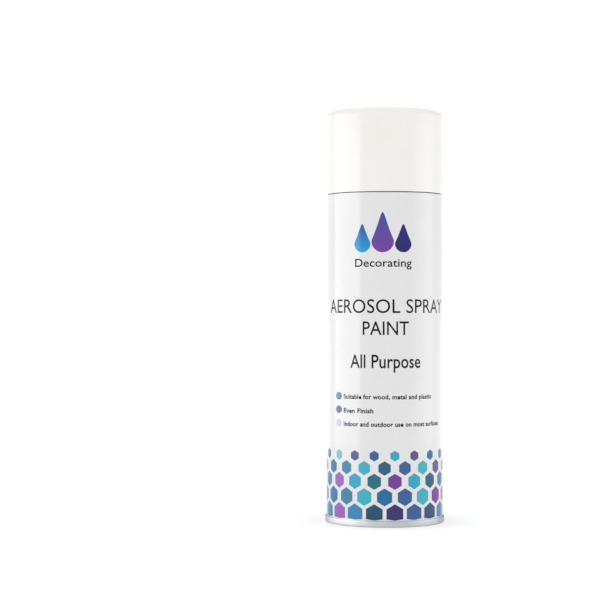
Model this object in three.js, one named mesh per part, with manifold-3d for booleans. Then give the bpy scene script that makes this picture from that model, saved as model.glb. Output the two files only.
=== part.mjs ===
// An aerosol paint can of 65 mm diameter: a three-piece tinplate can with double seams, a sprung
// valve crimped into its one-inch opening, a spray button, a dip tube, two loose mixing balls, a
// wrapped label and a pull-off overcap that stands flush with the wall.
//
// Millimetres, +Z up the can's axis, -Y towards the label's front. The origin is the middle of the
// ring that the can stands on.

import * as THREE from "three";
import { mergeVertices } from "three/addons/utils/BufferGeometryUtils.js";
import Module from "manifold-3d";

const wasm = await Module();
wasm.setup();

// ---- Driving dimensions -------------------------------------------------------------------------

const bodyRadius = 32.5; // outside of the tinplate wall
const bodySheet = 0.2;
const endSheet = 0.3; // base and dome
const cupSheet = 0.28;
const seamHeight = 3.5; // both double seams
const neckRadius = 30.0; // outside of the drawn-in neck
const shoulderHeight = 182.6; // where the straight wall ends
const topSeamHeight = 189.85; // top of the upper double seam
const baseRise = 12.5; // middle of the domed base above the floor
const baseRimRadius = 30.9; // where the base's dome starts
const baseRimHeight = 5.3;
const labelBottom = 3.75;
const labelThickness = 0.08;
const labelGap = 0.02;

const curlRadius = 1.3; // middle line of the rolled rim round the one-inch opening
const curlCentreRadius = 14.15;
const curlTop = 202.0;

const stemRadius = 2.0;
const stemTop = 212.2;
const stemFlangeTop = 201.7;
const gasketThickness = 1.05;
const springFloor = 190.6; // floor of the housing's spring chamber
const springTop = 200.5; // underside of the stem's flange

const buttonRadius = 7.0;
const buttonBottom = 204.9;
const buttonTop = 220.2;
const nozzleHeight = 215.4;

const capRadius = 32.6;
const capWall = 1.25;
const capBottom = 183.4;
const capTop = 229.65;
const capRibs = 8;

const ballRadius = 3.175; // quarter-inch steel
const ballAngles = [35, 145]; // degrees from +X, clear of the dip tube
const restingGap = 0.1;

const bigSides = 36; // sides of each large turned piece
const smallSides = 24; // sides of each small turned piece

// ---- Shape helpers ------------------------------------------------------------------------------

const at = (radius, height) => new THREE.Vector2(radius, height);

// Points on an arc of an ellipse in the radius-height plane, angles in degrees from outwards.
function arc(centreRadius, centreHeight, across, up, from, to, steps) {
  return Array.from({ length: steps + 1 }, (_, i) => {
    const angle = THREE.MathUtils.degToRad(from + ((to - from) * i) / steps);
    return at(centreRadius + across * Math.cos(angle), centreHeight + up * Math.sin(angle));
  });
}

// The outline of sheet metal that follows a folded middle line, mitred at each corner. It starts
// and ends at the line's last point, which may be on the axis.
function sheetOutline(middle, thickness) {
  const sides = [[], []];
  middle.forEach((point, i) => {
    const before = middle[Math.max(i - 1, 0)];
    const after = middle[Math.min(i + 1, middle.length - 1)];
    const steps = [point.clone().sub(before), after.clone().sub(point)].filter((v) => v.length() > 0);
    const normals = steps.map((v) => at(-v.y, v.x).normalize());
    const mitre = normals[0].clone().add(normals[normals.length - 1]).normalize();
    const reach = thickness / 2 / mitre.dot(normals[0]);
    const shift = point.x === 0 ? at(0, Math.sign(mitre.y) * reach) : mitre.multiplyScalar(reach);
    sides[0].push(point.clone().add(shift));
    sides[1].push(point.clone().sub(shift));
  });
  return [...sides[1].reverse(), ...sides[0]];
}

// A closed outline turned about the Z axis. An outline that starts and ends on the axis stays open
// there, and any other one is closed on itself.
function turned(outline, sides) {
  const profile = [...outline];
  if (profile[0].x > 0 || profile[profile.length - 1].x > 0) profile.push(profile[0].clone());
  if (THREE.ShapeUtils.area(profile) < 0) profile.reverse();
  return new THREE.LatheGeometry(profile, sides).rotateX(Math.PI / 2);
}

// A geometry as a manifold-3d solid, with its shared vertices merged.
function solidOf(geometry) {
  const positions = new THREE.BufferGeometry();
  positions.setAttribute("position", geometry.getAttribute("position"));
  positions.setIndex(geometry.index);
  const merged = mergeVertices(positions, 1e-4);
  const vertProperties = merged.getAttribute("position").array;
  return new wasm.Manifold(new wasm.Mesh({ numProp: 3, vertProperties, triVerts: merged.index.array }));
}

function geometryOf(solid) {
  const mesh = solid.getMesh();
  const geometry = new THREE.BufferGeometry();
  geometry.setAttribute("position", new THREE.BufferAttribute(mesh.vertProperties, 3));
  geometry.setIndex(new THREE.BufferAttribute(mesh.triVerts, 1));
  geometry.computeVertexNormals();
  return geometry;
}

// The geometry less each of the cutters.
function cut(geometry, ...cutters) {
  return geometryOf(cutters.reduce((solid, cutter) => solid.subtract(solidOf(cutter)), solidOf(geometry)));
}

// The geometry joined with each of the others.
function join(geometry, ...others) {
  return geometryOf(others.reduce((solid, other) => solid.add(solidOf(other)), solidOf(geometry)));
}

// A round bar along Y or Z between two places on that axis.
function bar(radius, axis, from, to, x, other, sides = 12) {
  const made = new THREE.CylinderGeometry(radius, radius, Math.abs(to - from), sides);
  const middle = (from + to) / 2;
  if (axis === "z") return made.rotateX(Math.PI / 2).translate(x, other, middle);
  return made.translate(x, middle, other);
}

const part = new THREE.Group();

function addPiece(name, geometry, look) {
  const mesh = new THREE.Mesh(geometry, new THREE.MeshStandardMaterial(look));
  mesh.name = name;
  part.add(mesh);
  return mesh;
}

const tinplate = { color: 0xc4c6c8, roughness: 0.3, metalness: 1 };
const whiteFilm = { color: 0xf2f2f3, roughness: 0.35, metalness: 0 };
const whitePlastic = { color: 0xf1efec, roughness: 0.35, metalness: 0 };
const naturalPlastic = { color: 0xe6e4dc, roughness: 0.5, metalness: 0 };
const blackPlastic = { color: 0x1c1d20, roughness: 0.4, metalness: 0 };
const blackRubber = { color: 0x222222, roughness: 0.8, metalness: 0 };
const sealant = { color: 0xb8a89a, roughness: 0.9, metalness: 0 };
const springSteel = { color: 0xb9bcc0, roughness: 0.25, metalness: 1 };

// ---- The can's three tinplate pieces ------------------------------------------------------------

// Middle lines of a double seam's layers, as radii out from the wall's own middle line.
const toChuckWall = -0.35;
const toCoverHook = 0.3;
const toBodyHook = 0.6;
const toSeamWall = 0.9;
const hookGap = 0.45; // from the seam's end face to the middle of the body's flange
const hookLength = 1.95; // how far the body's flange folds back
const coverHookReach = 2.15; // how far the end's sheet folds back inside it

const wallLine = bodyRadius - bodySheet / 2;
const neckLine = neckRadius - bodySheet / 2;

function canBody() {
  const bottomFlange = hookGap;
  const topFlange = topSeamHeight - hookGap;
  const cornerRadius = 0.4;
  const corner = arc(wallLine - cornerRadius, shoulderHeight, cornerRadius, cornerRadius, 0, 70, 2);
  const ledgeEnd = at(neckLine + 1.0, 183.14);
  const middle = [
    at(wallLine + toBodyHook, bottomFlange + hookLength),
    at(wallLine + toBodyHook, bottomFlange),
    at(wallLine, bottomFlange),
    ...corner,
    ledgeEnd,
    at(neckLine + 0.25, 183.75),
    at(neckLine, 184.6),
    at(neckLine, topFlange),
    at(neckLine + toBodyHook, topFlange),
    at(neckLine + toBodyHook, topFlange - hookLength),
  ];
  return turned(sheetOutline(middle, bodySheet), bigSides);
}

// Middle line of an end's edge, folded round a body flange. It runs from the hidden hook to the
// chuck wall. Up is 1 for the dome, whose folds open downwards, and -1 for the base.
function foldedEdge(line, endFace, up) {
  const face = endFace - (up * endSheet) / 2;
  const turn = endFace - up * (seamHeight - endSheet / 2);
  return [
    at(line + toCoverHook, turn + up * coverHookReach),
    at(line + toCoverHook, turn),
    at(line + toSeamWall, turn),
    at(line + toSeamWall, face),
    at(line + toChuckWall, face),
  ];
}

// Radius of the sphere that the base's dome is part of.
const baseSphere = (baseRimRadius ** 2 + (baseRise - baseRimHeight) ** 2) / (2 * (baseRise - baseRimHeight));

function baseEnd() {
  const half = THREE.MathUtils.radToDeg(Math.asin(baseRimRadius / baseSphere));
  const dome = arc(0, baseRise - baseSphere, baseSphere, baseSphere, 90 - half, 90, 4);
  dome[dome.length - 1].x = 0; // exactly on the axis
  const middle = [
    ...foldedEdge(wallLine, 0, -1),
    at(wallLine + toChuckWall, 4.6),
    at(31.6, 5.2),
    ...dome,
  ];
  return turned(sheetOutline(middle, endSheet), bigSides);
}

function topDome() {
  const curlHeight = curlTop - curlRadius - endSheet / 2;
  const opening = curlCentreRadius - curlRadius;
  const middle = [
    ...foldedEdge(neckLine, topSeamHeight, 1),
    at(neckLine + toChuckWall, 186.0),
    at(29.0, 185.3),
    at(28.2, 185.45),
    at(24.5, 189.3),
    at(19.0, 193.9),
    at(13.9, 197.3),
    at(opening, 198.3),
    ...arc(curlCentreRadius, curlHeight, curlRadius, curlRadius, 180, -60, 6),
  ];
  return turned(sheetOutline(middle, endSheet), bigSides);
}

// The lining compound that fills the space past the end of the body's flange, inside a seam.
function seamSealant(line, from, to) {
  const middle = line + toBodyHook;
  const half = bodySheet / 2;
  return turned([at(middle - half, from), at(middle + half, from), at(middle + half, to),
    at(middle - half, to)], bigSides);
}

const flangeEnd = hookGap + hookLength;
const sealantGap = 0.08;
const foldInside = seamHeight - endSheet;

addPiece("can_body", canBody(), tinplate);
addPiece("base_end", baseEnd(), tinplate);
addPiece("top_dome", topDome(), tinplate);
addPiece("base_seam_sealant",
  seamSealant(wallLine, flangeEnd + sealantGap, foldInside - sealantGap), sealant);
addPiece("top_seam_sealant",
  seamSealant(neckLine, topSeamHeight - foldInside + sealantGap, topSeamHeight - flangeEnd - sealantGap),
  sealant);

// ---- Label --------------------------------------------------------------------------------------

const labelInside = bodyRadius + labelGap;
const labelOutside = labelInside + labelThickness;
addPiece("wrap_label", turned([at(labelInside, labelBottom), at(labelOutside, labelBottom),
  at(labelOutside, shoulderHeight), at(labelInside, shoulderHeight)], bigSides), whiteFilm);

// ---- Valve --------------------------------------------------------------------------------------

const cupTopLine = curlTop + 0.75; // middle line of the cup's rim over the can's curl
const pedestalTopLine = 203.1;

function valveCup() {
  const middle = [
    at(16.05, 200.9),
    at(16.05, cupTopLine - 0.45),
    at(15.6, cupTopLine),
    at(12.9, cupTopLine),
    at(12.36, cupTopLine - 0.55),
    at(12.36, 198.2),
    at(13.3, 196.9), // crimped out under the dome's neck
    at(12.8, 195.3),
    at(11.8, 194.6),
    at(7.4, 194.6),
    at(6.4, 195.5),
    at(5.2, 198.3), // crimped in under the housing's head
    at(5.95, 199.4),
    at(5.95, 202.5),
    at(5.4, pedestalTopLine),
    at(2.7, pedestalTopLine),
  ];
  return turned(sheetOutline(middle, cupSheet), bigSides);
}

function ring(inside, outside, from, to, sides) {
  return turned([at(inside, from), at(outside, from), at(outside, to), at(inside, to)], sides);
}

function valveHousing() {
  const orifice = 0.8;
  const chamber = 2.75;
  const spigotEnd = 182.6;
  return turned([
    at(orifice, spigotEnd),
    at(1.42, spigotEnd),
    at(1.42, 188.4),
    at(4.0, 188.4),
    at(4.0, 199.0),
    at(5.45, 199.0),
    at(5.45, stemFlangeTop),
    at(chamber, stemFlangeTop),
    at(chamber, springFloor),
    at(orifice, springFloor),
  ], smallSides);
}

function valveStem() {
  const bore = 0.8;
  const boreEnd = stemFlangeTop + 0.3;
  const stem = turned([
    at(0, 197.6),
    at(1.2, 197.6),
    at(1.2, springTop),
    at(2.45, springTop),
    at(2.45, stemFlangeTop),
    at(stemRadius, stemFlangeTop),
    at(stemRadius, stemTop - 0.4),
    at(stemRadius - 0.3, stemTop),
    at(bore, stemTop),
    at(bore, boreEnd),
    at(0, boreEnd),
  ], smallSides);
  const inlet = bar(0.3, "y", 0, stemRadius + 1, 0, stemFlangeTop + 0.7, 8);
  return cut(stem, inlet);
}

// A helix that starts and ends with its wire against flat seats.
class Helix extends THREE.Curve {
  constructor(radius, bottom, top, turns) {
    super();
    Object.assign(this, { radius, bottom, top, turns });
  }
  getPoint(t, target = new THREE.Vector3()) {
    const angle = 2 * Math.PI * this.turns * t;
    const height = THREE.MathUtils.lerp(this.bottom, this.top, t);
    return target.set(this.radius * Math.cos(angle), this.radius * Math.sin(angle), height);
  }
}

// A polygon with as many sides as given, to stand for a circle that is swept along a path.
function disc(radius, sides, hole = 0) {
  const round = (r) => Array.from({ length: sides }, (_, i) => {
    const angle = (2 * Math.PI * i) / sides;
    return at(r * Math.cos(angle), r * Math.sin(angle));
  });
  const shape = new THREE.Shape(round(radius));
  if (hole) shape.holes.push(new THREE.Path(round(hole)));
  return shape;
}

function valveSpring() {
  const wire = 0.25;
  const turns = 6;
  const path = new Helix(1.95, springFloor + wire + 0.05, springTop - wire - 0.05, turns);
  return new THREE.ExtrudeGeometry(disc(wire, 5), { steps: turns * 10, extrudePath: path });
}

function dipTube() {
  const path = new THREE.CubicBezierCurve3(
    new THREE.Vector3(0, 0, 188.3),
    new THREE.Vector3(0, 0, 112),
    new THREE.Vector3(0, -5, 62),
    new THREE.Vector3(0, -27.6, 9.6),
  );
  return new THREE.ExtrudeGeometry(disc(2.1, 12, 1.55), { steps: 16, extrudePath: path });
}

const gasketBottom = stemFlangeTop + 0.1;
addPiece("valve_cup", valveCup(), tinplate);
addPiece("cup_gasket", ring(13.0, 15.3, curlTop + 0.05, curlTop + 0.5, bigSides), blackRubber);
addPiece("stem_gasket",
  ring(stemRadius + 0.06, 5.35, gasketBottom, gasketBottom + gasketThickness, smallSides), blackRubber);
addPiece("valve_housing", valveHousing(), naturalPlastic);
addPiece("valve_stem", valveStem(), naturalPlastic);
addPiece("valve_spring", valveSpring(), springSteel);
addPiece("dip_tube", dipTube(), naturalPlastic);

// ---- Spray button -------------------------------------------------------------------------------

const nozzleSeat = 3.6; // distance of the insert's back from the axis
const nozzleLength = 3.2;
const nozzleRadius = 2.1;

function sprayButton() {
  const bore = stemRadius + 0.05;
  const shell = turned([
    at(0, stemTop + 0.4),
    at(bore, stemTop + 0.4),
    at(bore, buttonBottom + 1.5),
    at(3.7, buttonBottom + 1.5),
    at(3.7, 212.2),
    at(5.9, 212.2),
    at(5.9, buttonBottom),
    at(buttonRadius, buttonBottom),
    at(buttonRadius, buttonTop - 0.8),
    at(buttonRadius - 0.6, buttonTop),
    at(0, buttonTop),
  ], smallSides);
  const riser = bar(0.6, "z", stemTop + 0.1, nozzleHeight, 0, 0, 8);
  const feed = bar(0.6, "y", 0.3, -nozzleSeat - 0.5, 0, nozzleHeight, 8);
  const seat = bar(nozzleRadius + 0.1, "y", -nozzleSeat, -buttonRadius - 1, 0, nozzleHeight, 20);
  const flat = new THREE.BoxGeometry(16, 4, 12).translate(0, -8.35, nozzleHeight + 1.2);
  const fingerRadius = 16;
  const dish = new THREE.SphereGeometry(fingerRadius, 28, 28).translate(0, 2.2, buttonTop + fingerRadius - 1.9);
  return cut(shell, riser, feed, seat, flat, dish);
}

function nozzleInsert() {
  const orifice = 0.25;
  const cup = 1.2;
  return turned([
    at(cup, 0),
    at(nozzleRadius, 0),
    at(nozzleRadius, nozzleLength - 0.2),
    at(nozzleRadius - 0.2, nozzleLength),
    at(0.9, nozzleLength),
    at(orifice, nozzleLength - 0.7),
    at(orifice, 1.6),
    at(cup, 1.6),
  ], 20);
}

addPiece("spray_button", sprayButton(), whitePlastic);
const insert = addPiece("nozzle_insert", nozzleInsert(), blackPlastic);
insert.rotation.x = Math.PI / 2; // its outlet faces -Y
insert.position.set(0, -nozzleSeat - 0.1, nozzleHeight);

// ---- Overcap ------------------------------------------------------------------------------------

function overcap() {
  const inside = capRadius - capWall;
  const cornerAcross = 4.5;
  const cornerUp = 3.2;
  const roof = 1.4;
  const outerCorner = arc(capRadius - cornerAcross, capTop - cornerUp, cornerAcross, cornerUp, 0, 90, 4);
  const innerCorner = arc(inside - 3.2, capTop - roof - 2.4, 3.2, 2.4, 90, 0, 3);
  const shell = turned([
    at(inside, capBottom),
    at(capRadius - 0.15, capBottom),
    at(capRadius, capBottom + 0.2),
    ...outerCorner,
    at(0, capTop),
    at(0, capTop - roof),
    ...innerCorner,
    at(inside, 186.0), // the bead that catches under the can's top seam
    at(inside - 0.3, 185.4),
    at(inside - 0.3, 185.0),
    at(inside, 184.4),
  ].reverse(), bigSides);
  const ribs = Array.from({ length: capRibs }, (_, i) => {
    const rib = new THREE.BoxGeometry(2.2, 1.0, 9).translate(inside - 0.75, 0, topSeamHeight + 0.15 + 4.5);
    return rib.rotateZ((2 * Math.PI * (i + 0.5)) / capRibs);
  });
  return join(shell, ...ribs);
}

addPiece("overcap", overcap(), whitePlastic);

// ---- Mixing balls -------------------------------------------------------------------------------

// Each ball rests on the base's dome, close to the wall.
const ballReach = bodyRadius - bodySheet - ballRadius - 0.4;
const ballToSphere = baseSphere + endSheet / 2 + ballRadius + restingGap;
const ballHeight = baseRise - baseSphere + Math.sqrt(ballToSphere ** 2 - ballReach ** 2);

ballAngles.forEach((degrees, i) => {
  const angle = THREE.MathUtils.degToRad(degrees);
  const ball = new THREE.SphereGeometry(ballRadius, 16, 10).rotateX(Math.PI / 2);
  const piece = addPiece(`mixing_ball_${i + 1}`, ball, springSteel);
  piece.position.set(ballReach * Math.cos(angle), ballReach * Math.sin(angle), ballHeight);
});

export default part;
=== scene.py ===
"""The look of an aerosol paint can and its overcap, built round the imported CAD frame.

Shapes are given in millimetres, as radii from the can's axis and heights above the floor, and
their meshes are made in metres. +Z is up the can's axis and -Y is the label's front.
"""

import math

import bmesh
import bpy
from mathutils import Matrix, Vector
from mathutils.geometry import intersect_line_line_2d


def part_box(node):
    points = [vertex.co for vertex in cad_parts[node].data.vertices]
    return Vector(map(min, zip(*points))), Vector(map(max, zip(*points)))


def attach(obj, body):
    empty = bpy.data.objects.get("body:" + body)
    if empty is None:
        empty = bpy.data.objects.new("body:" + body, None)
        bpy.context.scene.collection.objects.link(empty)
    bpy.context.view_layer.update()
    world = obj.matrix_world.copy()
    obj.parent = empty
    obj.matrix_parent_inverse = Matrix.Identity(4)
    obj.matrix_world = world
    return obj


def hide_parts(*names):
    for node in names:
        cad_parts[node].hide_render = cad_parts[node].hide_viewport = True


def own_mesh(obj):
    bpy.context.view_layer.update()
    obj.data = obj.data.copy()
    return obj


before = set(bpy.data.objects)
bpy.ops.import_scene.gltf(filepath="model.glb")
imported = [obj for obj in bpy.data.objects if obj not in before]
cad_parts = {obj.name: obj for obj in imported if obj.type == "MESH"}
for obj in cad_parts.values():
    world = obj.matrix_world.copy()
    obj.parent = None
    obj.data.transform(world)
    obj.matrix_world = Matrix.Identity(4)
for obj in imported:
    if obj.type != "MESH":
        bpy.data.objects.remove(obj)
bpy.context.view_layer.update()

MM = 0.001


def span(node):
    """A turned node's outer radius, lowest height and highest height, in millimetres."""
    low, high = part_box(node)
    return high.x / MM, low.z / MM, high.z / MM


_, FLOOR_LEVEL, _ = span("base_end")
_, _, BODY_TOP = span("can_body")
_, _, CURL_TOP = span("top_dome")
LABEL_RADIUS, LABEL_BOTTOM, LABEL_TOP = span("wrap_label")
STEM_FLANGE, STEM_BOTTOM, STEM_TOP = span("valve_stem")
BUTTON_RADIUS, BUTTON_BOTTOM, BUTTON_TOP = span("spray_button")
CAP_RADIUS, CAP_BOTTOM, CAP_TOP = span("overcap")
HOUSING_RADIUS, HOUSING_BOTTOM, HOUSING_TOP = span("valve_housing")

BODY_SHEET = 0.2
END_SHEET = 0.3
CUP_SHEET = 0.28
SEAM_HEIGHT = 3.5
SEAM_TOP = BODY_TOP + 0.35  # the top seam's end face
WALL_LINE = 32.4  # middle of the tinplate wall
NECK_LINE = 29.9  # middle of the drawn-in neck

LARGE = 144  # sides of a large turned piece, one each 2.5 degrees
SMALL = 64
SHARP = math.radians(35)  # faces that meet at more than this show an edge


# ---- Outlines ------------------------------------------------------------------------------------


def rounded(points, radius, closed=False, steps=5):
    """The line with an arc at each corner, of the radius given or of a point's own third number."""
    line = []
    count = len(points)
    for i, (x, y, *own) in enumerate(points):
        corner = Vector((x, y))
        if not closed and i in (0, count - 1):
            line.append(corner)
            continue
        before = Vector(points[i - 1][:2]) - corner
        after = Vector(points[(i + 1) % count][:2]) - corner
        half = before.angle(after) / 2
        wanted = own[0] if own else radius
        nearly_straight = half > math.radians(89.5)
        if wanted < 1e-6 or nearly_straight:
            line.append(corner)
            continue
        room = 0.49 * min(before.length, after.length)
        tangent = min(wanted / math.tan(half), room)
        reach = tangent / math.cos(half)
        centre = corner + (before.normalized() + after.normalized()).normalized() * reach
        start = corner + before.normalized() * tangent - centre
        end = corner + after.normalized() * tangent - centre
        turn = start.angle_signed(end)
        for k in range(steps + 1):
            line.append(centre + Matrix.Rotation(-turn * k / steps, 2) @ start)
    return line


def sheet(middle, thickness):
    """The closed outline of sheet metal that follows a folded middle line.

    It goes back along the line's right side, from its last point, and out again along its left."""
    sides = [], []
    for i, point in enumerate(middle):
        steps = []
        if i > 0:
            steps.append(point - middle[i - 1])
        if i < len(middle) - 1:
            steps.append(middle[i + 1] - point)
        normals = [Vector((-s.y, s.x)).normalized() for s in steps]
        mitre = (normals[0] + normals[-1]).normalized()
        reach = thickness / 2 / mitre.dot(normals[0])
        shift = mitre * reach
        if point.x < 1e-6:  # on the axis, where both sides have to end
            shift = Vector((0, math.copysign(reach, mitre.y)))
        sides[0].append(point + shift)
        sides[1].append(point - shift)
    return [*reversed(sides[1]), *sides[0]]


def arc(centre, across, up, start, end, steps):
    """Points on an arc of an ellipse, with its angles in degrees from outwards."""
    angles = [math.radians(start + (end - start) * k / steps) for k in range(steps + 1)]
    return [Vector((centre[0] + across * math.cos(a), centre[1] + up * math.sin(a))) for a in angles]


# ---- Meshes --------------------------------------------------------------------------------------


def fill_mesh(mesh, bm):
    """Moves a bmesh into a mesh, smooth-shaded but for its sharp edges."""
    bm.to_mesh(mesh)
    bm.free()
    mesh.shade_smooth()
    mesh.set_sharp_from_angle(angle=SHARP)


def finished(name, bm, material):
    """An object from a bmesh in metres."""
    bmesh.ops.remove_doubles(bm, verts=bm.verts, dist=1e-8)
    bmesh.ops.recalc_face_normals(bm, faces=bm.faces)
    mesh = bpy.data.meshes.new(name)
    fill_mesh(mesh, bm)
    mesh.materials.append(material)
    made = bpy.data.objects.new(name, mesh)
    bpy.context.scene.collection.objects.link(made)
    return made


def evaluated(made):
    """A bmesh of an object as its modifiers, or its curve, make it."""
    bpy.context.view_layer.update()
    depsgraph = bpy.context.evaluated_depsgraph_get()
    mesh = bpy.data.meshes.new_from_object(made.evaluated_get(depsgraph))
    bm = bmesh.new()
    bm.from_mesh(mesh)
    bpy.data.meshes.remove(mesh)
    return bm


def even_angles(sides):
    """Angles spaced evenly over a whole turn."""
    return [2 * math.pi * i / sides for i in range(sides)]


def turned_mesh(outline, angles, shaped=None):
    """An outline turned about Z, as a bmesh. shaped(angle, radius, height) may move each point.

    An outline whose ends aren't both on the axis is closed."""
    bm = bmesh.new()
    rings = []
    for radius, height in outline:
        ring = []
        for angle in angles if radius > 1e-6 else [0.0]:
            r, h = shaped(angle, radius, height) if shaped else (radius, height)
            ring.append(bm.verts.new((r * math.cos(angle) * MM, r * math.sin(angle) * MM, h * MM)))
        rings.append(ring)
    count = len(angles)
    pairs = list(zip(rings, rings[1:]))
    if len(rings[0]) > 1 or len(rings[-1]) > 1:
        pairs.append((rings[-1], rings[0]))
    for lower, upper in pairs:
        if len(lower) == 1 and len(upper) == 1:
            continue
        for i in range(count):
            j = (i + 1) % count
            corners = [lower[i % len(lower)], lower[j % len(lower)]]
            corners += [upper[j % len(upper)], upper[i % len(upper)]]
            bm.faces.new(dict.fromkeys(corners))
    return bm


def turned(name, outline, material, sides=LARGE, shaped=None):
    """An outline turned about Z in even steps, as an object."""
    return finished(name, turned_mesh(outline, even_angles(sides), shaped), material)


def swept(name, points, section, material):
    """A closed solid whose section, a list of loops of points in its own plane, follows a path."""
    bm = bmesh.new()
    side = Vector((1, 0, 0))
    stations = []
    for i, point in enumerate(points):
        ahead = (points[min(i + 1, len(points) - 1)] - points[max(i - 1, 0)]).normalized()
        side = (side - ahead * side.dot(ahead)).normalized()
        up = ahead.cross(side)
        stations.append([
            [bm.verts.new((point + side * x + up * y) * MM) for x, y in loop] for loop in section
        ])
    for here, there in zip(stations, stations[1:]):
        for loop, far in zip(here, there):
            for i in range(len(loop)):
                j = (i + 1) % len(loop)
                bm.faces.new((loop[i], loop[j], far[j], far[i]))
    for end in (stations[0], stations[-1]):
        if len(end) == 1:
            bm.faces.new(end[0])
            continue
        outer, inner = end
        for i in range(len(outer)):
            j = (i + 1) % len(outer)
            bm.faces.new((outer[i], outer[j], inner[j], inner[i]))
    return finished(name, bm, material)


def circle(radius, sides):
    """A loop of points round (0, 0)."""
    return [(radius * math.cos(a), radius * math.sin(a)) for a in even_angles(sides)]


def drill(start, end, radius, sides, material):
    """A round cutter from one point to another, for cut_by."""
    return swept("drill", [Vector(start), Vector(end)], [circle(radius, sides)], material)


def cut_by(piece, *cutters):
    """Takes each cutter's solid away from the piece, and removes the cutters."""
    for cutter in cutters:
        modifier = piece.modifiers.new("cut", "BOOLEAN")
        modifier.operation = "DIFFERENCE"
        modifier.solver = "MANIFOLD"
        modifier.object = cutter
    bm = evaluated(piece)
    piece.modifiers.clear()
    for cutter in cutters:
        bpy.data.objects.remove(cutter)
    bmesh.ops.triangulate(bm, faces=bm.faces)
    bmesh.ops.remove_doubles(bm, verts=bm.verts, dist=2e-7)
    fill_mesh(piece.data, bm)
    return piece


def place(piece, body, slot, *nodes):
    """Puts a finished piece on a body, in place of CAD nodes; slot is not used."""
    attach(piece, body)
    if nodes:
        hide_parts(*nodes)
    return piece


# ---- Materials -----------------------------------------------------------------------------------

PATTERN_RADIUS = 32.6  # angles round the can become lengths at this radius
PLASTIC_IOR = 1.5
MOULD_GRAIN = 0.35  # how wide and how deep the mould's texture is
MOULD_DEPTH = 0.004
PEEL_SIZE = 2.2  # how wide and how deep the film's orange peel is
PEEL_DEPTH = 0.0012


def srgb(text):
    """A linear colour from a web colour such as "f2f2f3"."""
    values = [int(text[i : i + 2], 16) / 255 for i in (0, 2, 4)]
    return [v / 12.92 if v <= 0.04045 else ((v + 0.055) / 1.055) ** 2.4 for v in values] + [1.0]


class Nodes:
    """A node tree, with short names for the nodes that this file uses."""

    def __init__(self, tree):
        self.tree = tree

    def node(self, kind, inputs=(), **settings):
        """A new node, with values or links for its inputs."""
        made = self.tree.nodes.new(kind)
        for key, value in settings.items():
            setattr(made, key, value)
        for key, value in dict(inputs).items():
            self.feed(made.inputs[key], value)
        return made

    def feed(self, socket, value):
        """Links a socket, or sets its value."""
        if isinstance(value, bpy.types.NodeSocket):
            self.tree.links.new(value, socket)
        else:
            socket.default_value = value

    def math(self, operation, *values):
        """The result of a sum on values or sockets."""
        return self.node("ShaderNodeMath", enumerate(values), operation=operation).outputs[0]

    def noise(self, vector, size, detail=2.0, roughness=0.5):
        """Noise from about 0.3 to 0.7 whose blotches are about size millimetres across."""
        return self.node("ShaderNodeTexNoise", {
            "Vector": vector, "Scale": 1 / (size * MM), "Detail": detail, "Roughness": roughness,
        }).outputs["Fac"]

    def between(self, value, low, high, from_low=0.3, from_high=0.7):
        """value, mapped from one range to another and clamped."""
        return self.node("ShaderNodeMapRange", {
            "Value": value, "From Min": from_low, "From Max": from_high,
            "To Min": low, "To Max": high,
        }).outputs["Result"]

    def mix(self, share, first, second, blend="MIX"):
        """A colour between two colours. The colour sockets come after the node's hidden ones."""
        made = self.node("ShaderNodeMix", data_type="RGBA", blend_type=blend)
        colours = [socket for socket in made.inputs if socket.type == "RGBA"]
        self.feed(made.inputs[0], share)
        self.feed(colours[0], first)
        self.feed(colours[1], second)
        return next(socket for socket in made.outputs if socket.type == "RGBA")


class Shader(Nodes):
    """A material and its nodes."""

    def __init__(self, name):
        self.material = bpy.data.materials.new(name)
        self.material.use_nodes = True
        super().__init__(self.material.node_tree)
        self.surface = self.tree.nodes["Principled BSDF"]

    def set(self, **values):
        """Sets inputs of the surface, named in lower case with _ for a space."""
        names = {key.lower().replace(" ", "_"): key for key in self.surface.inputs.keys()}
        for key, value in values.items():
            self.feed(self.surface.inputs[names[key]], value)

    def place(self):
        """The point on the object, in metres."""
        return self.node("ShaderNodeTexCoord").outputs["Object"]

    def round_the_can(self, along=1.0, up=1.0):
        """The point as length round the can, height and radius, in metres, times a factor each."""
        parts = self.node("ShaderNodeSeparateXYZ", {0: self.place()}).outputs
        angle = self.math("ARCTAN2", parts["X"], self.math("MULTIPLY", parts["Y"], -1.0))
        flat = self.node("ShaderNodeCombineXYZ", {0: parts["X"], 1: parts["Y"], 2: 0.0}).outputs[0]
        radius = self.node("ShaderNodeVectorMath", {0: flat}, operation="LENGTH").outputs["Value"]
        return self.node("ShaderNodeCombineXYZ", {
            0: self.math("MULTIPLY", angle, PATTERN_RADIUS * MM * along),
            1: self.math("MULTIPLY", parts["Z"], up),
            2: radius,
        }).outputs[0]

    def bump(self, height, depth):
        """A normal from a height of 0 to 1 that stands for a depth in millimetres."""
        inputs = {"Height": height, "Distance": depth * MM, "Strength": 1.0}
        return self.node("ShaderNodeBump", inputs).outputs["Normal"]


def moulded_plastic(name, colour, tint, rough, gloss=0.5):
    """Moulded plastic: faint flow clouds in its colour, a fine mould texture and light scuffs."""
    s = Shader(name)
    at = s.place()
    clouds = s.noise(at, 14.0, 3.0)
    fine = s.noise(at, MOULD_GRAIN, 2.0, 0.6)
    scuffs = s.between(s.noise(at, 2.4, 6.0, 0.75), 0.0, 1.0, 0.58, 0.7)
    s.set(
        base_color=s.mix(s.between(clouds, 0.0, 1.0), srgb(colour), srgb(tint)),
        roughness=s.math("ADD", s.between(clouds, rough - 0.02, rough + 0.02),
                         s.math("MULTIPLY", scuffs, 0.06)),
        ior=PLASTIC_IOR,
        specular_ior_level=gloss,
        normal=s.bump(fine, MOULD_DEPTH),
    )
    return s.material


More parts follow.
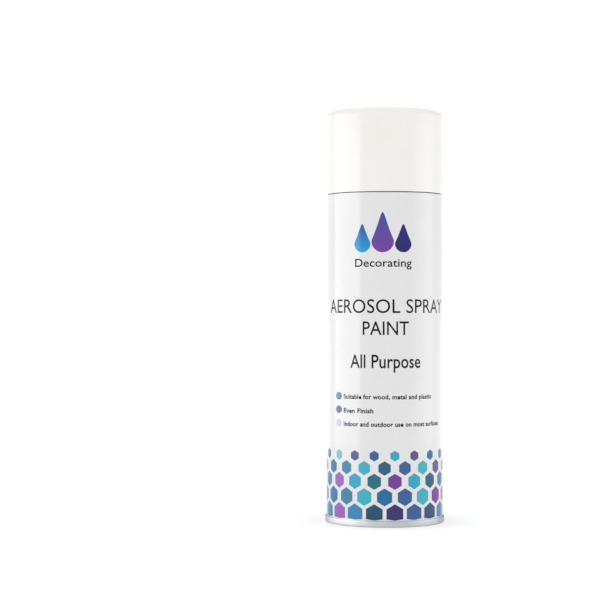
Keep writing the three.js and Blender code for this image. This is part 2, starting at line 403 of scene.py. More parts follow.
def label_film():
    """White film: the wall's slight orange peel shows through, with a low gloss and a few rubs."""
    s = Shader("label_film")
    at = s.round_the_can()
    peel = s.noise(at, PEEL_SIZE)
    rubs = s.between(s.noise(s.round_the_can(up=0.25), 3.0, 5.0, 0.7), 0.0, 1.0, 0.6, 0.72)
    s.set(
        base_color=s.mix(s.between(s.noise(at, 25.0), 0.0, 1.0), srgb("e7e7e8"), srgb("e5e5e6")),
        roughness=s.math("ADD", s.between(peel, 0.15, 0.19), s.math("MULTIPLY", rubs, 0.05)),
        ior=PLASTIC_IOR,
        normal=s.bump(peel, PEEL_DEPTH),
    )
    return s.material


def ink(name, colour, second=None, low=0.0, high=1.0, gloss=0.5):
    """Printed ink, mottled a little, with the film's orange peel.

    With a second colour it is graded from the first at the height low to the second at high."""
    s = Shader(name)
    at = s.round_the_can()
    peel = s.noise(at, PEEL_SIZE)
    base = srgb(colour)
    if second:
        height = s.node("ShaderNodeSeparateXYZ", {0: s.place()}).outputs["Z"]
        base = s.mix(s.between(height, 0.0, 1.0, low * MM, high * MM), base, srgb(second))
    mottle = s.between(s.noise(at, 0.5), 0.96, 1.04)
    grey = s.node("ShaderNodeCombineColor", {0: mottle, 1: mottle, 2: mottle}).outputs[0]
    s.set(
        base_color=s.mix(1.0, base, grey, "MULTIPLY"),
        roughness=s.between(peel, 0.15, 0.2),
        ior=PLASTIC_IOR,
        specular_ior_level=gloss,
        normal=s.bump(peel, PEEL_DEPTH),
    )
    return s.material


def sheet_metal(name, colour, tint, rough, streak, edge="ffffff"):
    """Bright sheet: fine marks drawn round the can, a grain in its shine and a cloudy lacquer.

    streak is how wide the marks are, and edge is the colour of reflections at a glancing angle."""
    s = Shader(name)
    drawn = s.noise(s.round_the_can(along=0.04), streak, 4.0, 0.65)
    clouds = s.noise(s.place(), 6.0, 3.0)
    specks = s.between(s.noise(s.place(), 0.8, 3.0, 0.7), 0.0, 1.0, 0.62, 0.72)
    s.set(
        base_color=s.mix(s.between(clouds, 0.0, 1.0), srgb(colour), srgb(tint)),
        metallic=1.0,
        specular_tint=srgb(edge),
        roughness=s.math("ADD", s.between(drawn, rough - 0.05, rough + 0.07),
                         s.math("MULTIPLY", specks, 0.08)),
        normal=s.bump(drawn, 0.0025),
    )
    return s.material


def rubber(name, colour, tint):
    """Dull rubber, blotched and pitted."""
    s = Shader(name)
    at = s.place()
    s.set(
        base_color=s.mix(s.between(s.noise(at, 1.5, 3.0), 0.0, 1.0), srgb(colour), srgb(tint)),
        roughness=s.between(s.noise(at, 0.6, 3.0), 0.65, 0.85),
        normal=s.bump(s.noise(at, 0.25, 3.0), 0.01),
    )
    return s.material


CAP_PLASTIC = moulded_plastic("cap_plastic", "f6f3f0", "f4f1ed", 0.2, gloss=0.42)
BUTTON_PLASTIC = moulded_plastic("button_plastic", "efefec", "ebebe8", 0.28)
INSERT_PLASTIC = moulded_plastic("insert_plastic", "1b1c20", "222327", 0.35)
VALVE_PLASTIC = moulded_plastic("valve_plastic", "e6e4dc", "dedbd0", 0.4)
TUBE_PLASTIC = moulded_plastic("tube_plastic", "e2e2da", "d8d8ce", 0.42)
TINPLATE = sheet_metal("tinplate", "d2d3d5", "c8c9cc", 0.33, 0.18)
BASE_TINPLATE = sheet_metal("base_tinplate", "d0d1d3", "c6c7ca", 0.5, 0.18, "8c8c8c")
SPRING_STEEL = sheet_metal("spring_steel", "b9bcc0", "a9acb1", 0.22, 0.1)
BALL_STEEL = sheet_metal("ball_steel", "c9cacc", "b7b8bb", 0.12, 0.4)
GASKET_RUBBER = rubber("gasket_rubber", "1d1d1e", "262627")
SEALANT = rubber("sealant", "b8a89a", "a89888")
LABEL_FILM = label_film()


# ---- The can -------------------------------------------------------------------------------------

# Middle lines of a double seam's layers, as radii out from the wall's middle line.
CHUCK_WALL, COVER_HOOK, BODY_HOOK, SEAM_WALL = -0.35, 0.3, 0.6, 0.9
HOOK_GAP = 0.45
HOOK_LENGTH = 1.95
COVER_HOOK_REACH = 2.15


def folded_edge(line, end_face, up):
    """Middle line of an end's edge, folded round a body flange, from its hook to the chuck wall."""
    face = end_face - up * END_SHEET / 2
    turn = end_face - up * (SEAM_HEIGHT - END_SHEET / 2)
    return [
        (line + COVER_HOOK, turn + up * COVER_HOOK_REACH),
        (line + COVER_HOOK, turn, 0.3),
        (line + SEAM_WALL, turn, 0.3),
        (line + SEAM_WALL, face, 0.6),
        (line + CHUCK_WALL, face, 0.45),
    ]


def can_body():
    """The wall, from the flange in the base seam to the neck and the flange in the top seam."""
    corner = [(p.x, p.y, 0.0) for p in arc((WALL_LINE - 0.4, LABEL_TOP), 0.4, 0.4, 0, 70, 4)]
    middle = rounded([
        (WALL_LINE + BODY_HOOK, HOOK_GAP + HOOK_LENGTH),
        (WALL_LINE + BODY_HOOK, HOOK_GAP),
        (WALL_LINE, HOOK_GAP),
        *corner,
        (NECK_LINE + 1.0, 183.14),
        (NECK_LINE + 0.25, 183.75),
        (NECK_LINE, 184.6, 0.6),
        (NECK_LINE, SEAM_TOP - HOOK_GAP),
        (NECK_LINE + BODY_HOOK, SEAM_TOP - HOOK_GAP),
        (NECK_LINE + BODY_HOOK, SEAM_TOP - HOOK_GAP - HOOK_LENGTH),
    ], 0.2)
    return turned("can_body", sheet(middle, BODY_SHEET), TINPLATE)


BASE_RISE = 12.5  # the dome's middle
BASE_RIM = (30.9, 5.3)  # where the dome meets the rim


def base_end():
    """The base: its half of the seam, and a dome that stands up into the can."""
    rise = BASE_RISE - BASE_RIM[1]
    sphere = (BASE_RIM[0] ** 2 + rise**2) / (2 * rise)
    half = math.degrees(math.asin(BASE_RIM[0] / sphere))
    dome = arc((0, BASE_RISE - sphere), sphere, sphere, 90 - half, 90, 16)
    dome[-1].x = 0
    edge = rounded([
        *folded_edge(WALL_LINE, FLOOR_LEVEL, -1),
        (WALL_LINE + CHUCK_WALL, 4.7, 0.5),
        (31.5, 5.25, 0.6),
        BASE_RIM,
    ], 0.3)
    return turned("base_end", sheet([*edge, *dome[1:]], END_SHEET), BASE_TINPLATE)


CURL_LINE = 1.3  # radius of the curl's middle line
CURL_CENTRE = 14.15


def top_dome():
    """The top: its half of the seam, the cone and the curl round the opening."""
    curl_middle = (CURL_CENTRE, CURL_TOP - CURL_LINE - END_SHEET / 2)
    curl = arc(curl_middle, CURL_LINE, CURL_LINE, 180, -60, 20)
    slope = rounded([
        *folded_edge(NECK_LINE, SEAM_TOP, 1),
        (NECK_LINE + CHUCK_WALL, 185.6, 0.8),
        (28.4, 185.2, 0.8),
        (24.5, 189.3, 6.0),
        (19.0, 193.9, 12.0),
        (13.9, 197.3, 2.0),
        (CURL_CENTRE - CURL_LINE, 198.3, 0.5),
        (curl[0].x, curl[0].y),
    ], 0.3)
    return turned("top_dome", sheet([*slope, *curl[1:]], END_SHEET), TINPLATE)


def ring(inner, outer, low, high):
    """The outline of a plain ring."""
    return [(inner, low), (outer, low), (outer, high), (inner, high)]


def seam_sealant(name):
    """The thin ring of compound between a seam's layers."""
    outer, low, high = span(name)
    outline = ring(outer - BODY_SHEET, outer, low, high)
    return turned(name, rounded(outline, 0.05, closed=True, steps=2), SEALANT)


place(can_body(), "can", "tinplate", "can_body")
place(base_end(), "can", "tinplate", "base_end")
place(top_dome(), "can", "tinplate", "top_dome")
for seam in ("base_seam_sealant", "top_seam_sealant"):
    place(seam_sealant(seam), "can", "sealant", seam)


# ---- Label ---------------------------------------------------------------------------------------

LABEL_INSIDE = 32.52
FILM = LABEL_RADIUS - LABEL_INSIDE
LABEL_STEP = 2 * math.pi / LARGE
LAP_START = math.radians(167.5)  # the film's end lies on its start from here
LAP_END = math.pi


def on_can(angle, radius, height):
    """A point round from the front, anticlockwise seen from above, in metres."""
    return Vector((radius * math.sin(angle), -radius * math.cos(angle), height)) * MM


def label_lift(angle):
    """How far the film's end stands out, at an angle round from the front, to lie on its start."""
    rise = (angle - LAP_START + LABEL_STEP) / LABEL_STEP
    return (FILM + 0.01) * min(max(rise, 0.0), 1.0)


def wrap_label():
    """One strip of film that goes right round the can and laps over its own start at the back."""
    bm = bmesh.new()
    first = round((LAP_START - 2 * math.pi) / LABEL_STEP)
    last = round(LAP_END / LABEL_STEP)
    columns = []
    for i in range(first, last + 1):
        angle = i * LABEL_STEP
        lift = label_lift(angle)
        column = []
        for radius in (LABEL_INSIDE + lift, LABEL_RADIUS + lift):
            for height in (LABEL_BOTTOM, LABEL_TOP):
                column.append(bm.verts.new(on_can(angle, radius, height)))
        columns.append(column)
    for here, there in zip(columns, columns[1:]):
        for a, b in ((0, 1), (1, 3), (3, 2), (2, 0)):
            bm.faces.new((here[a], here[b], there[b], there[a]))
    for end in (columns[0], columns[-1]):
        bm.faces.new((end[0], end[1], end[3], end[2]))
    return finished("wrap_label", bm, LABEL_FILM)


place(wrap_label(), "can", "label_film", "wrap_label")


# ---- Print ---------------------------------------------------------------------------------------

INK_FOOT = -0.01  # the ink's back is just inside the film
INK_FACE = 0.02
SNAP = 2e-3  # points this close to a fold of the film are on it


def printed(name, flat, material):
    """Flat faces, with x along the label from its front and y up, as a thin print on the label.

    The faces are split at each fold of the film, so that they lie flat on it."""
    step = LABEL_STEP * LABEL_RADIUS
    ends = [v.co.x for v in flat.verts]
    for k in range(math.ceil(min(ends) / step), math.floor(max(ends) / step) + 1):
        everything = [*flat.verts, *flat.edges, *flat.faces]
        bmesh.ops.bisect_plane(
            flat, geom=everything, dist=SNAP, plane_co=(k * step, 0, 0), plane_no=(1, 0, 0))
    faces = list(flat.faces)
    for vert in flat.verts:
        vert.co.z = INK_FOOT
    raised = bmesh.ops.extrude_face_region(flat, geom=faces)["geom"]
    for vert in raised:
        if isinstance(vert, bmesh.types.BMVert):
            vert.co.z = INK_FACE
    for vert in flat.verts:
        angle = vert.co.x / LABEL_RADIUS
        vert.co = on_can(angle, LABEL_RADIUS + label_lift(angle) + vert.co.z, vert.co.y)
    return place(finished(name, flat, material), "can", "label_film")


def flat_shapes(outlines):
    """Outlines of points, each filled as one flat face."""
    bm = bmesh.new()
    for outline in outlines:
        bm.faces.new([bm.verts.new((x, y, 0)) for x, y in outline])
    return bm


CAPITALS = 0.682  # height of the built-in font's capitals at size 1
FOLD_REACH = 10  # a fold in a widened outline has fewer sides than this


def letter_outlines(words, spacing):
    """The closed outlines of a line of words, at the built-in font's size 1."""
    curve = bpy.data.curves.new("words", "FONT")
    curve.body = words
    curve.fill_mode = "NONE"
    curve.resolution_u = 4
    curve.space_character = spacing
    holder = bpy.data.objects.new("words", curve)
    bpy.context.scene.collection.objects.link(holder)
    bm = evaluated(holder)
    bpy.data.objects.remove(holder)
    bmesh.ops.remove_doubles(bm, verts=bm.verts, dist=1e-5)
    bm.verts.index_update()
    outlines, seen = [], set()
    for vert in bm.verts:
        outline = []
        while vert and vert not in seen:
            seen.add(vert)
            outline.append(vert.co.xy.copy())
            others = [edge.other_vert(vert) for edge in vert.link_edges]
            others.sort(key=lambda other: other.index)
            vert = next((other for other in others if other not in seen), None)
        if len(outline) > 2:
            outlines.append(outline)
    bm.free()
    return outlines


def widened(outline, out):
    """The outline with each side moved to its right, which is outwards from the ink."""
    moved = []
    befores = outline[-1:] + outline[:-1]
    afters = outline[1:] + outline[:1]
    for before, here, after in zip(befores, outline, afters):
        first = -(here - before).normalized().orthogonal()
        second = -(after - here).normalized().orthogonal()
        moved.append(here + (first + second) * (out / max(1 + first.dot(second), 0.5)))
    return moved


def unfolded(outline):
    """The outline without the small loops where its widened corners cross themselves."""
    k = 0
    while k < len(outline):
        turned = outline[k:] + outline[:k]
        for reach in range(min(FOLD_REACH, len(outline) - 3), 1, -1):
            crossing = intersect_line_line_2d(*turned[:2], *turned[reach : reach + 2])
            if crossing:
                outline = [turned[0], crossing, *turned[reach + 1:]]
                k = -1  # starts again
                break
        k += 1
    return outline


def signed_area(outline):
    """The area inside an outline, negative where the outline goes round a hole."""
    return sum(here.cross(after) for here, after in zip(outline, outline[1:] + outline[:1])) / 2


def is_inside(hole, outline):
    """Whether a hole lies in the rectangle round an outline."""
    for axis in (0, 1):
        reaches = [point[axis] for point in outline]
        if not all(min(reaches) < point[axis] < max(reaches) for point in hole):
            return False
    return True


def flat_text(words, left, right, bottom, cap_height, heavier):
    """A line of words, fitted between two places along the label.

    Its letters are widened by heavier on every side, and spaced apart to make room for that."""
    outlines = letter_outlines(words, 1 + 1.5 * heavier)
    outlines = [unfolded(widened(outline, heavier)) for outline in outlines]
    holes = [outline for outline in outlines if signed_area(outline) < 0]
    bm = bmesh.new()
    for outer in outlines:
        if signed_area(outer) < 0:
            continue
        edges = []
        for outline in (outer, *[hole for hole in holes if is_inside(hole, outer)]):
            verts = [bm.verts.new((*point, 0)) for point in outline]
            edges += [bm.edges.new(ends) for ends in zip(verts, verts[1:] + verts[:1])]
        bmesh.ops.triangle_fill(bm, edges=edges, use_beauty=True, normal=(0, 0, 1))
    low = min(v.co.x for v in bm.verts)
    high = max(v.co.x for v in bm.verts)
    for vert in bm.verts:
        vert.co.x = left + (vert.co.x - low) / (high - low) * (right - left)
        vert.co.y = bottom + (vert.co.y + heavier) / (CAPITALS + 2 * heavier) * cap_height
    return bm


BLACK_INK = ink("black_ink", "0e0e10", gloss=0.2)


COLUMNS = 18
PITCH = 2 * math.pi * LABEL_RADIUS / COLUMNS
PRINT_END = math.pi * LABEL_RADIUS - 0.3  # the print stops just short of the film's end
PRINT_BOTTOM = LABEL_BOTTOM + 0.05
HEXAGON_STRETCH = 1.02  # the hexagons are this much taller than regular ones
# Each row of the band: height of its middle, hexagons' width across flats, half a pitch over or not.
ROWS = [
    (38.9, 5.0, True),
    (32.2, 6.7, False),
    (24.9, 7.5, True),
    (16.4, 8.3, False),
    (7.2, 9.3, True),
]
INKS = {
    "pale": "76b9cb", "aqua": "3aaec1", "lagoon": "24a5c4", "teal": "046a79", "steel": "3a80a3",
    "azure": "0a72a8", "sky": "3086b8", "blue": "05669c", "navy": "315b95", "denim": "455491",
    "mauve": "5b4c8b", "violet": "713197", "lilac": "9960bb", "plum": "2f236c", "slate": "1c5a79",
    "deep": "03466a", "dusk": "1e4d73",
}
# Each row's colours, from the column at the front or just right of it, and on round the can.
ROW_COLOURS = [
    "lagoon mauve blue azure violet pale navy aqua mauve teal denim lagoon violet pale blue pale "
    "denim navy",
    "slate navy aqua mauve lilac lagoon steel blue aqua plum azure navy violet teal lagoon azure "
    "steel aqua",
    "violet lagoon slate blue aqua mauve teal azure lilac pale navy lagoon plum steel azure lilac "
    "lagoon teal",
    "blue navy aqua violet mauve azure slate aqua blue violet steel navy lagoon plum blue azure "
    "steel aqua",
    "plum navy dusk azure violet slate blue deep aqua plum azure violet dusk navy azure lilac "
    "sky deep",
]


def hexagon(x, y, width):
    """A hexagon that stands on a corner, cut off at the label's edges."""
    reach = width / math.sqrt(3)
    outline = []
    for k in range(6):
        turn = math.radians(30 + 60 * k)
        px = x + reach * math.cos(turn)
        py = y + reach * HEXAGON_STRETCH * math.sin(turn)
        outline.append((min(max(px, -PRINT_END), PRINT_END), max(py, PRINT_BOTTOM)))
    return outline


def hexagon_band():
    """The hexagons all round the can, with those of one colour as one piece."""
    shapes = {name: [] for name in INKS}
    for (height, width, shifted), colours in zip(ROWS, ROW_COLOURS):
        names = colours.split()
        for column in range(-COLUMNS // 2, COLUMNS // 2 + 1):
            x = PITCH * (column + (0.5 if shifted else 0.0))
            if abs(x) - width / 2 < PRINT_END:
                shapes[names[column % COLUMNS]].append(hexagon(x, height, width))
    for name, outlines in shapes.items():
        colour = ink(f"{name}_ink", INKS[name], gloss=0.42)
        printed(f"hexagons_{name}", flat_shapes(outlines), colour)


hexagon_band()


def drop(x, bottom, width, height):
    """A paint drop: a round foot drawn up to a point."""
    radius = width / 2
    outline = []
    for k in range(40):
        t = 2 * math.pi * k / 40
        pull = max(math.cos(t), 0.0) ** 2.2
        px = math.sin(t) * radius * (1 - 0.55 * max(math.cos(t), 0.0) ** 1.3)
        py = radius + radius * math.cos(t) + (height - width) * pull
        outline.append((x + px, bottom + py))
    return outline


MARK_BOTTOM = 150.0
# Each drop: place along the label, width, height, and its colours at the bottom and the top.
MARK = [
    ("left", -12.5, 9.6, 15.5, "009dd5", "0050a5"),
    ("middle", -1.0, 12.4, 22.0, "74389b", "2f4ba0"),
    ("right", 10.5, 9.6, 15.5, "120f66", "1b1b72"),
]
for side, x, width, height, low_colour, high_colour in MARK:
    gradient = ink(f"mark_ink_{side}", low_colour, high_colour, MARK_BOTTOM, MARK_BOTTOM + height)
    printed(f"mark_{side}", flat_shapes([drop(x, MARK_BOTTOM, width, height)]), gradient)


# Each line: its words, left and right ends, bottom, height of its capitals, and how much heavier.
LINES = [
    ("mark_words", "Decorating", -16.8, 15.4, 142.1, 4.4, 0.012),
    ("title_upper", "AEROSOL SPRAY", -37.8, 42.2, 116.9, 7.45, 0.003),
    ("title_lower", "PAINT", -12.2, 13.7, 104.9, 7.4, 0.006),
    ("kind_line", "All Purpose", -19.9, 21.0, 86.8, 7.4, 0.012),
    ("use_line_1", "Suitable for wood, metal and plastic", -24.7, 29.4, 69.8, 2.6, 0.031),
    ("use_line_2", "Even Finish", -24.7, -6.1, 62.1, 2.6, 0.031),
    ("use_line_3", "Indoor and outdoor use on most surfaces", -24.7, 36.6, 54.8, 2.6, 0.031),
]
for name, words, left, right, bottom, cap_height, heavier in LINES:
    printed(name, flat_text(words, left, right, bottom, cap_height, heavier), BLACK_INK)


DOT_X = -28.8
DOT_WIDTH = 5.3
DOT_HEIGHT = 4.25
DOTS = [("upper", 71.2, "04789d"), ("middle", 63.8, "444b98"), ("lower", 56.3, "c5c1df")]
for name, height, colour in DOTS:
    outline = [(DOT_X + x * DOT_WIDTH, height + y * DOT_HEIGHT) for x, y in circle(0.5, 32)]
    printed(f"dot_{name}", flat_shapes([outline]), ink(f"dot_ink_{name}", colour))


# ---- Valve ---------------------------------------------------------------------------------------

CRIMPS = 8
CRIMP_RADIUS, CRIMP_HEIGHT = 5.2, 198.3
CRIMP_DEPTH = 0.22
SIDE_HOLE_HEIGHT = 202.4
SIDE_HOLE_RADIUS = 0.3
SPRING_FLOOR = 190.6  # the housing's floor, which the spring stands on


def valve_cup():
    """The cup, from its rim over the curl, down its wall and up again round the valve."""
    middle = rounded([
        (16.05, 200.9),
        (16.05, 202.75, 0.7),
        (12.36, 202.75, 0.9),
        (12.36, 198.2, 0.5),
        (13.3, 196.9, 0.5),
        (12.6, 194.6, 0.8),
        (6.8, 194.6, 0.9),
        (CRIMP_RADIUS, CRIMP_HEIGHT, 0.5),
        (5.95, 199.4, 0.6),
        (5.95, 203.1, 0.7),
        (2.7, 203.1),
    ], 0.4, steps=6)

    def crimped(angle, radius, height):
        """The crimp under the housing's head is pressed in by separate jaws."""
        near = math.exp(-(((radius - CRIMP_RADIUS) / 0.6) ** 2) - ((height - CRIMP_HEIGHT) / 0.9) ** 2)
        return radius + CRIMP_DEPTH * near * (0.5 + 0.5 * math.cos(CRIMPS * angle)), height

    return turned("valve_cup", sheet(middle, CUP_SHEET), TINPLATE, shaped=crimped)


def gasket(name, inner):
    """A flat rubber ring."""
    outline = ring(inner, *span(name))
    return turned(name, rounded(outline, 0.12, closed=True, steps=3), GASKET_RUBBER, SMALL)


def valve_housing():
    """The cup that holds the spring, with its head on top and the tail piece below."""
    outline = [
        (0.8, HOUSING_BOTTOM), (1.42, HOUSING_BOTTOM), (1.42, 188.4), (4.0, 188.4), (4.0, 199.0),
        (HOUSING_RADIUS, 199.0), (HOUSING_RADIUS, HOUSING_TOP), (2.75, HOUSING_TOP),
        (2.75, SPRING_FLOOR), (0.8, SPRING_FLOOR),
    ]
    return turned("valve_housing", rounded(outline, 0.15, closed=True, steps=3), VALVE_PLASTIC, SMALL)


def valve_stem():
    """The hollow stem, with its flange and the side hole that the gasket closes."""
    bore = 0.8
    outline = rounded([
        (0, STEM_BOTTOM), (1.2, STEM_BOTTOM), (1.2, 200.5), (STEM_FLANGE, 200.5),
        (STEM_FLANGE, 201.7), (2.0, 201.7), (2.0, STEM_TOP, 0.35), (bore, STEM_TOP, 0.15),
        (bore, 202.0), (0, 202.0),
    ], 0.12, steps=3)
    stem = turned("valve_stem", outline, VALVE_PLASTIC, SMALL)
    side_hole = drill(
        (0, 0, SIDE_HOLE_HEIGHT), (0, 3, SIDE_HOLE_HEIGHT), SIDE_HOLE_RADIUS, 16, VALVE_PLASTIC)
    return cut_by(stem, side_hole)


SPRING_TURNS = 6
SPRING_RADIUS = 1.95
SPRING_WIRE = 0.25
SPRING_END = 0.06  # the share of the helix that lies flat at each end


def valve_spring():
    """A helix with closed ends, in the length between its node's ends."""
    _, low, high = span("valve_spring")
    per_turn = 24
    total = SPRING_TURNS * per_turn
    points = []
    for i in range(total + 1):
        t = i / total
        eased = min(max((t - SPRING_END) / (1 - 2 * SPRING_END), 0.0), 1.0)
        height = low + SPRING_WIRE + (high - low - 2 * SPRING_WIRE) * eased
        angle = 2 * math.pi * i / per_turn
        x, y = SPRING_RADIUS * math.cos(angle), SPRING_RADIUS * math.sin(angle)
        points.append(Vector((x, y, height)))
    return swept("valve_spring", points, [circle(SPRING_WIRE, 12)], SPRING_STEEL)


TUBE_OUTER, TUBE_INNER = 2.1, 1.55
TUBE_COURSE = [(0, 0, 188.3), (0, 0, 112), (0, -5, 62), (0, -27.6, 9.6)]  # a Bezier curve's points


def dip_tube():
    """A curved tube from the housing to the foot of the wall at the front."""
    top, second, third, foot = [Vector(point) for point in TUBE_COURSE]
    steps = 48
    points = []
    for k in range(steps + 1):
        t = k / steps
        u = 1 - t
        points.append(top * u**3 + second * 3 * u * u * t + third * 3 * u * t * t + foot * t**3)
    section = [circle(TUBE_OUTER, 28), circle(TUBE_INNER, 28)]
    return swept("dip_tube", points, section, TUBE_PLASTIC)


place(valve_cup(), "can", "tinplate", "valve_cup")
place(gasket("cup_gasket", 13.0), "can", "gasket_rubber", "cup_gasket")
place(gasket("stem_gasket", 2.06), "can", "gasket_rubber", "stem_gasket")
place(valve_housing(), "can", "valve_plastic", "valve_housing")
place(valve_stem(), "valve", "valve_plastic", "valve_stem")
place(dip_tube(), "can", "tube_plastic", "dip_tube")
spring = place(valve_spring(), "can", "spring_steel", "valve_spring")
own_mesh(spring)


# ---- Spray button --------------------------------------------------------------------------------

NOZZLE_HEIGHT = 215.4
NOZZLE_SEAT = 3.6
NOZZLE_RADIUS = 2.1
NOZZLE_LENGTH = 3.2
NOZZLE_PLAY = 0.1
FEED_RADIUS = 0.6  # the channels from the stem to the nozzle
FRONT_FLAT = 6.35  # the flat in front is this far from the axis
FLAT_FOOT = 210.6
DISH_RADIUS = 16.0
DISH_DEPTH = 1.9
DISH_BACK = 2.2  # the dish's middle is behind the axis
DISH_SHARE = 0.35  # how much of the rim's rounding is left in the dish


def spray_button():
    """The button, with its skirt, its dish and front flat, and the channels to the nozzle."""
    bore = 2.05
    rim = [(r, BUTTON_TOP) for r in (6.0, 5.2, 4.4, 3.6, 2.8, 2.0, 1.2, 0.5)]
    wall = [(BUTTON_RADIUS, z) for z in (209.0, 210.2, 210.5, 210.7, 211.2, 213.0, 215.0, 217.0)]
    outline = rounded([
        (0, 212.6), (bore, 212.6), (bore, 206.4), (3.7, 206.4), (3.7, 212.2), (5.9, 212.2),
        (5.9, BUTTON_BOTTOM), (BUTTON_RADIUS, BUTTON_BOTTOM, 0.25), *wall,
        (BUTTON_RADIUS, BUTTON_TOP, 0.9), *rim, (0, BUTTON_TOP),
    ], 0.15, steps=4)

    def dished(angle, radius, height):
        """The finger dish lowers the top."""
        if height < BUTTON_TOP - 4:
            return radius, height
        x, y = radius * math.cos(angle), radius * math.sin(angle)
        below_centre = math.sqrt(DISH_RADIUS**2 - x * x - (y - DISH_BACK) ** 2)
        dish = BUTTON_TOP - DISH_DEPTH + DISH_RADIUS - below_centre
        return radius, min(height, dish + (height - BUTTON_TOP) * DISH_SHARE)

    bm = turned_mesh(outline, even_angles(SMALL * 2), dished)
    for vert in bm.verts:
        if vert.co.z > FLAT_FOOT * MM and vert.co.y < -FRONT_FLAT * MM:
            vert.co.y = -FRONT_FLAT * MM
    button = finished("spray_button", bm, BUTTON_PLASTIC)
    seat = drill((0, -NOZZLE_SEAT, NOZZLE_HEIGHT), (0, -9, NOZZLE_HEIGHT),
                 NOZZLE_RADIUS + NOZZLE_PLAY, 40, BUTTON_PLASTIC)
    feed = drill((0, 0.3, NOZZLE_HEIGHT), (0, -5, NOZZLE_HEIGHT), FEED_RADIUS, 16, BUTTON_PLASTIC)
    riser = drill((0, 0, 212.3), (0, 0, NOZZLE_HEIGHT + 0.3), FEED_RADIUS, 16, BUTTON_PLASTIC)
    return cut_by(button, seat, feed, riser)


def nozzle_insert():
    """The insert is turned along Z, then laid with its outlet to the front."""
    outline = rounded([
        (1.2, 0), (NOZZLE_RADIUS, 0), (NOZZLE_RADIUS, NOZZLE_LENGTH, 0.25),
        (1.0, NOZZLE_LENGTH, 0.15), (0.25, NOZZLE_LENGTH - 0.7), (0.25, 1.6), (1.2, 1.6),
    ], 0.08, closed=True, steps=4)
    insert = turned("nozzle_insert", outline, INSERT_PLASTIC, SMALL)
    laid = Matrix.Rotation(math.radians(90), 4, "X")
    moved = Matrix.Translation(Vector((0, -NOZZLE_SEAT - NOZZLE_PLAY, NOZZLE_HEIGHT)) * MM)
    insert.data.transform(moved @ laid)
    return insert


place(spray_button(), "actuator", "button_plastic", "spray_button")
place(nozzle_insert(), "actuator", "insert_plastic", "nozzle_insert")


# ---- Overcap -------------------------------------------------------------------------------------

CAP_WALL = 1.25
CAP_ROOF = 1.4
CAP_RIBS = 8
RIB_DEPTH = 1.85
RIB_HALF = math.radians(0.9)  # half a rib's width, and how far its side slopes
RIB_BLEND = math.radians(0.25)
RIB_FOOT, RIB_HEAD = 189.95, 199.5
RIB_TAPER = 0.7


def overcap():
    """The cap, with its snap bead and ribs inside and the gate mark on its top."""
    inside = CAP_RADIUS - CAP_WALL
    across, up = 4.5, 3.2
    outer = arc((CAP_RADIUS - across, CAP_TOP - up), across, up, 0, 90, 14)
    inner = arc((inside - 3.2, CAP_TOP - CAP_ROOF - 2.4), 3.2, 2.4, 90, 0, 10)
    edge = rounded([
        (inside, CAP_BOTTOM + 0.8), (inside, CAP_BOTTOM, 0.15),
        (CAP_RADIUS, CAP_BOTTOM, 0.3), (CAP_RADIUS, CAP_BOTTOM + 0.8),
    ], 0.2)
    gate = [(4.2, 0), (3.9, 0.25), (1.1, 0.25), (0.8, 0.05), (0, 0.05)]
    bead = rounded([
        (inside, 189.9), (inside, 186.0), (inside - 0.3, 185.4), (inside - 0.3, 185.0),
        (inside, 184.4), (inside, 184.3),
    ], 0.25)
    outline = [
        *edge,
        *outer,
        *[Vector((radius, CAP_TOP - depth)) for radius, depth in gate],
        Vector((0, CAP_TOP - CAP_ROOF)),
        *inner,
        *[Vector((inside, height)) for height in (199.6, 199.2, 198.8, 190.4, 189.99)],
        *bead,
    ]

    def ribbed(angle, radius, height):
        """Stop ribs stand in from the wall, above the top seam."""
        if abs(radius - inside) > 1e-3 or not RIB_FOOT < height < RIB_HEAD:
            return radius, height
        pitch = 2 * math.pi / CAP_RIBS
        off = abs((angle / pitch) % 1 - 0.5) * pitch
        share = min(max((RIB_HALF + RIB_BLEND - off) / RIB_BLEND, 0.0), 1.0)
        taper = min((RIB_HEAD - height) / RIB_TAPER, 1.0)
        return radius - RIB_DEPTH * share * taper, height

    angles = set(even_angles(LARGE))
    for i in range(CAP_RIBS):
        middle = 2 * math.pi * (i + 0.5) / CAP_RIBS
        for reach in (RIB_HALF, RIB_HALF + RIB_BLEND):
            angles |= {middle - reach, middle + reach}
    return finished("overcap", turned_mesh(outline, sorted(angles), ribbed), CAP_PLASTIC)


place(overcap(), "cap", "cap_plastic", "overcap")


# ---- Mixing balls --------------------------------------------------------------------------------

for node, body in (("mixing_ball_1", "ball_1"), ("mixing_ball_2", "ball_2")):
    low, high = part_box(node)
    bm = bmesh.new()
    bmesh.ops.create_icosphere(bm, subdivisions=5, radius=(high.z - low.z) / 2)
    bmesh.ops.translate(bm, verts=bm.verts, vec=(low + high) / 2)
    place(finished(node, bm, BALL_STEEL), body, "ball_steel", node)


# ---- Stage, light and camera ---------------------------------------------------------------------

FLOOR_SIZE = 60.0  # metres
FLOOR_GLOW = 0.2  # the floor shines a little itself, as a light table does


def stage():
    """A wide plain floor."""
    s = Shader("pale_floor")
    grain = s.noise(s.place(), 30.0, 3.0)
    s.set(
        base_color=s.mix(grain, srgb("f6f6f6"), srgb("f8f8f8")),
        roughness=0.8,
        specular_ior_level=0.0,
        emission_color=srgb("ffffff"),
        emission_strength=FLOOR_GLOW,
    )
    bm = bmesh.new()
    bmesh.ops.create_grid(bm, x_segments=1, y_segments=1, size=FLOOR_SIZE / 2)
    mesh = bpy.data.meshes.new("floor")
    bm.to_mesh(mesh)
    bm.free()
    mesh.materials.append(s.material)
    floor = bpy.data.objects.new("floor", mesh)
    bpy.context.scene.collection.objects.link(floor)


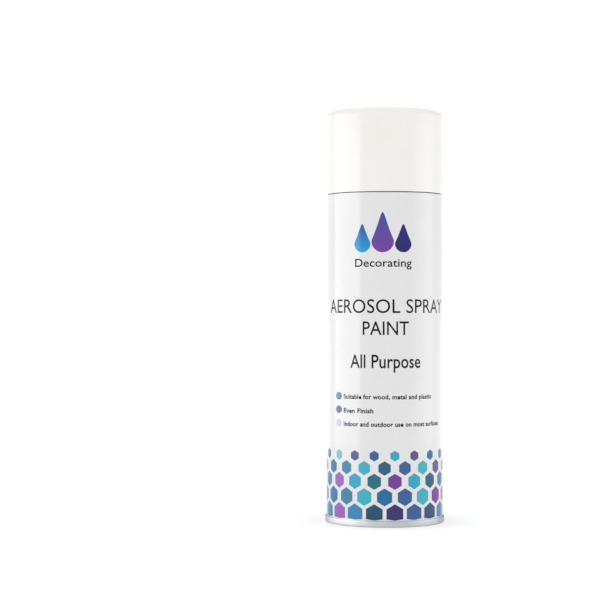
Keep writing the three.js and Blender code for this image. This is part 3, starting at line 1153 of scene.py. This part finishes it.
SKY_AHEAD = 0.67  # radiance near the ground, in front and behind
SKY_BESIDE = 0.21  # how much brighter it is to the left and right
SKY_OVERHEAD = 0.32  # how much brighter it is overhead
SKY_LEFT = 0.06  # how much brighter the left is than the middle, and the right darker
SKY_SEEN = 1.05  # radiance that the camera sees directly, a little over white


def sky():
    """A plain room: white to the camera, and brightest overhead and to the left and right."""
    world = bpy.data.worlds.new("studio")
    world.use_nodes = True
    s = Nodes(world.node_tree)
    direction = s.node("ShaderNodeTexCoord").outputs["Generated"]
    x, y, z = s.node("ShaderNodeSeparateXYZ", {0: direction}).outputs
    beside = s.between(s.math("ABSOLUTE", y), SKY_BESIDE, 0.0, 0.0, 0.5)
    overhead = s.between(z, 0.0, SKY_OVERHEAD, 0.0, 0.9)
    across = s.math("MULTIPLY_ADD", x, -SKY_LEFT, SKY_AHEAD)
    radiance = s.math("ADD", s.math("ADD", beside, overhead), across)
    seen = s.node("ShaderNodeLightPath").outputs["Is Camera Ray"]
    strength = s.math("MAXIMUM", radiance, s.math("MULTIPLY", seen, SKY_SEEN))
    background = s.tree.nodes["Background"]
    background.inputs["Color"].default_value = (1.0, 1.0, 1.0, 1.0)
    s.feed(background.inputs["Strength"], strength)
    bpy.context.scene.world = world


PANEL_DISTANCE = 0.6  # metres, as all places from here on are
PANEL_TOP = 0.33
# Each panel: from one azimuth to another, in degrees anticlockwise from the front, and its radiance.
LEFT_PANEL = (-113.2, -48.0, 2.6)
RIGHT_PANELS = [(57.1, 107.7, 0.48), (67.3, 107.7, 0.48), (78.4, 107.7, 0.48)]
BACK_PANELS = [(-175.0, -113.2, 0.6), (107.7, 175.0, 0.45)]


def reflector(name, start, end, radiance):
    """An upright panel on the floor that is seen only in reflections."""
    middle = math.radians((start + end) / 2)
    half = math.radians((end - start) / 2)
    distance = PANEL_DISTANCE * math.cos(half)
    light = bpy.data.lights.new(name, "AREA")
    light.shape = "RECTANGLE"
    light.size = 2 * PANEL_DISTANCE * math.sin(half)
    light.size_y = PANEL_TOP
    light.energy = radiance * light.size * light.size_y * math.pi  # watts that give this radiance
    panel = bpy.data.objects.new(name, light)
    spot = Vector((math.sin(middle) * distance, -math.cos(middle) * distance, PANEL_TOP / 2))
    panel.location = spot
    aim = Vector((0, 0, PANEL_TOP / 2)) - spot
    panel.rotation_euler = aim.to_track_quat("-Z", "Y").to_euler()
    panel.visible_camera = False
    panel.visible_diffuse = False
    bpy.context.scene.collection.objects.link(panel)


def lights():
    """The room, and the panels that make the can's long highlights."""
    sky()
    reflector("left_panel", *LEFT_PANEL)
    for i, panel in enumerate(RIGHT_PANELS):
        reflector(f"right_panel_{i + 1}", *panel)
    for side, panel in zip(("left", "right"), BACK_PANELS):
        reflector(f"back_panel_{side}", *panel)
    bpy.context.scene.view_settings.view_transform = "Standard"


CAMERA_PLACE = (0.0, -1.019, 0.1183)
CAMERA_LENS, CAMERA_SENSOR = 108.5, 36.0  # millimetres
TIPPED_UP, TURNED_LEFT = 0.33, 2.676  # degrees


def camera():
    """Level with the can's middle and a metre in front, with the can right of the picture's middle."""
    data = bpy.data.cameras.new("camera")
    data.lens = CAMERA_LENS
    data.sensor_width = CAMERA_SENSOR
    data.clip_start = 0.05
    data.clip_end = 50.0
    made = bpy.data.objects.new("camera", data)
    made.location = CAMERA_PLACE
    made.rotation_euler = (math.radians(90 + TIPPED_UP), 0.0, math.radians(TURNED_LEFT))
    bpy.context.scene.collection.objects.link(made)
    bpy.context.scene.camera = made


stage()
lights()
camera()
